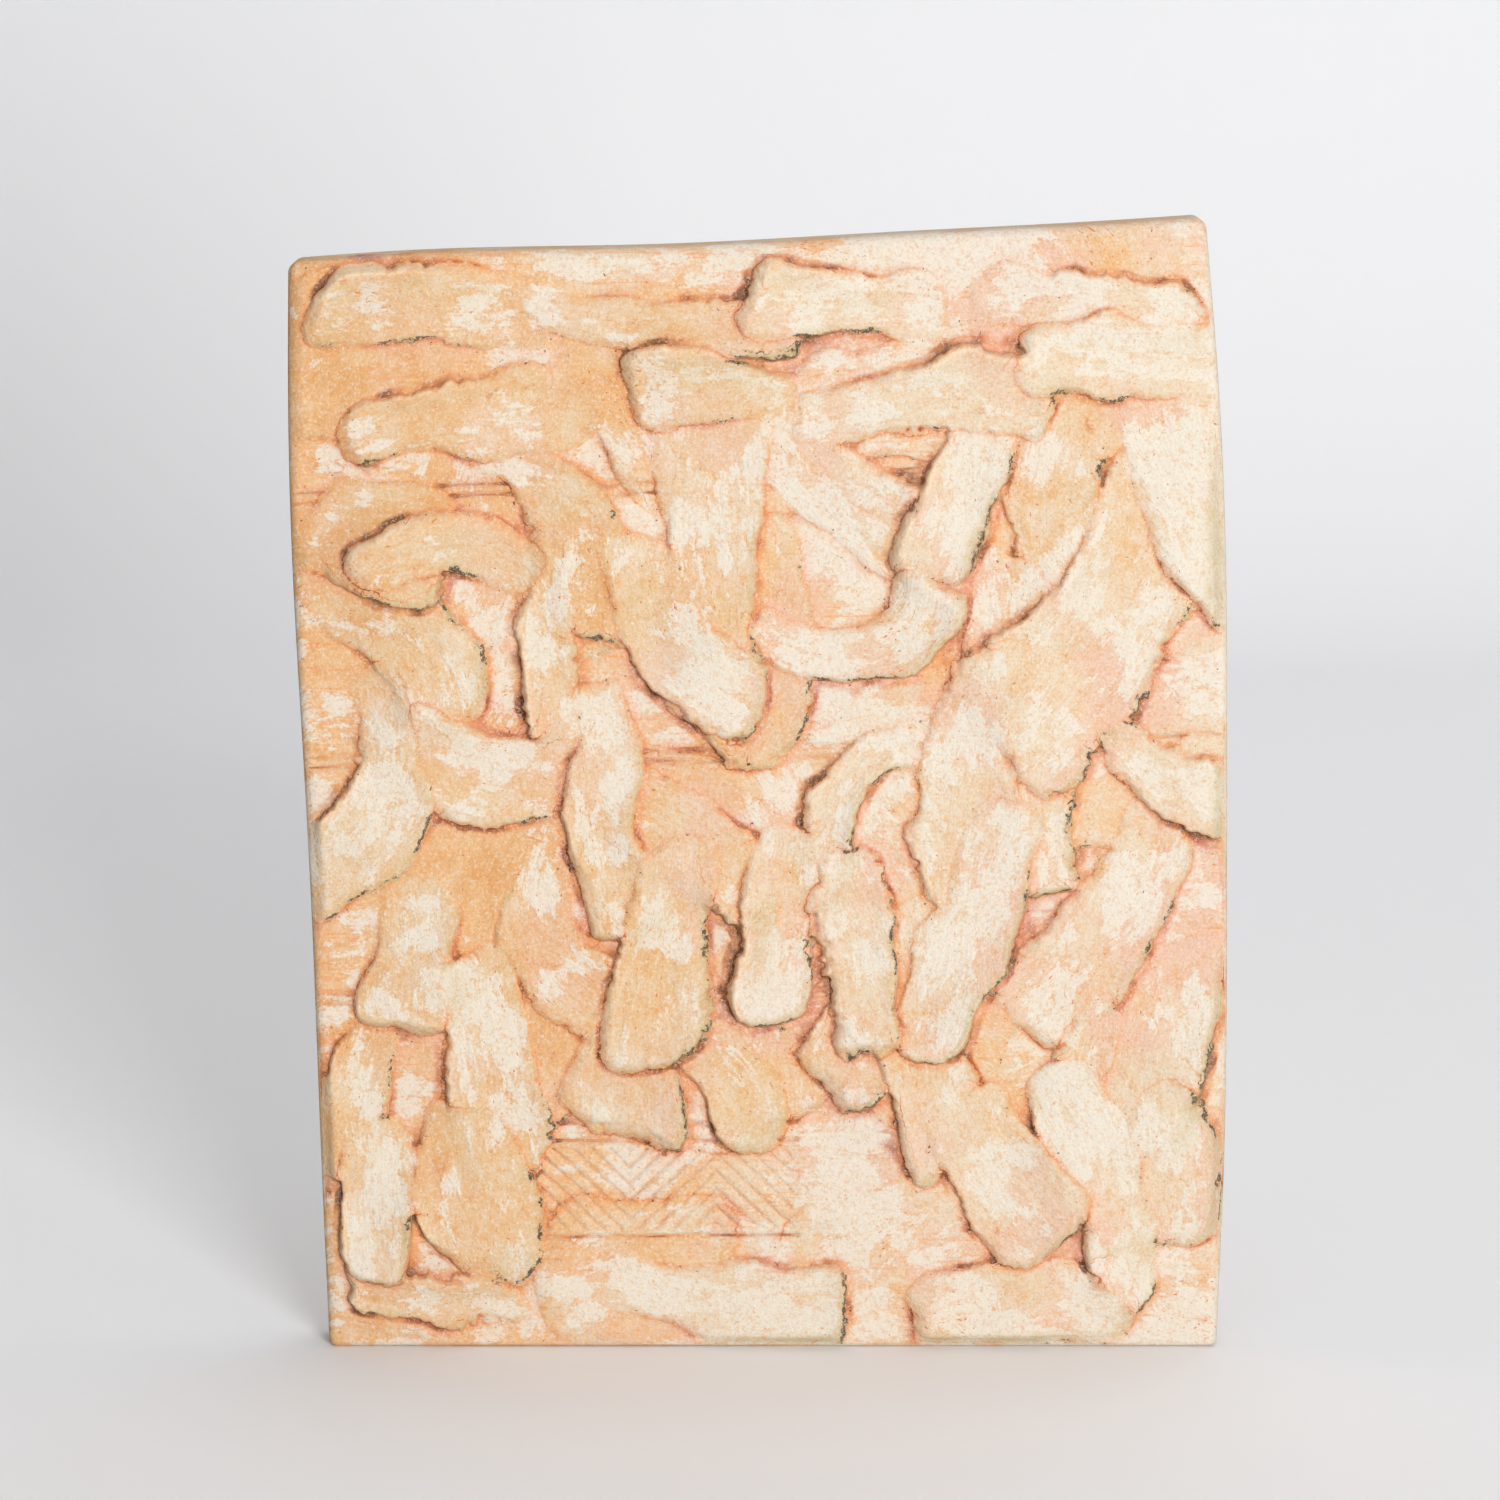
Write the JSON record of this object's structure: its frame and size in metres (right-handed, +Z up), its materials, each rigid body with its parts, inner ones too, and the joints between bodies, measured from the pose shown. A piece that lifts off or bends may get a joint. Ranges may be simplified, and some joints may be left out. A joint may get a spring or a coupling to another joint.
{
  "type": "clay relief tablet",
  "caption": "Upright fired clay tablet with rounded edges, its front covered with smeared dabs of clay in low relief; stands on its narrow underside or hangs flat against a wall.",
  "frame": {"origin": "middle of the narrow underside that the tablet stands on", "axes": "+Z up, -Y out of the relief front, +X to the right of someone who looks at the front"},
  "size_m": [0.2162, 0.0211, 0.2648],
  "materials": {
    "fired_clay": null
  },
  "bodies": {
    "root": {"relief_tablet": "fired_clay"}
  },
  "joints": []
}
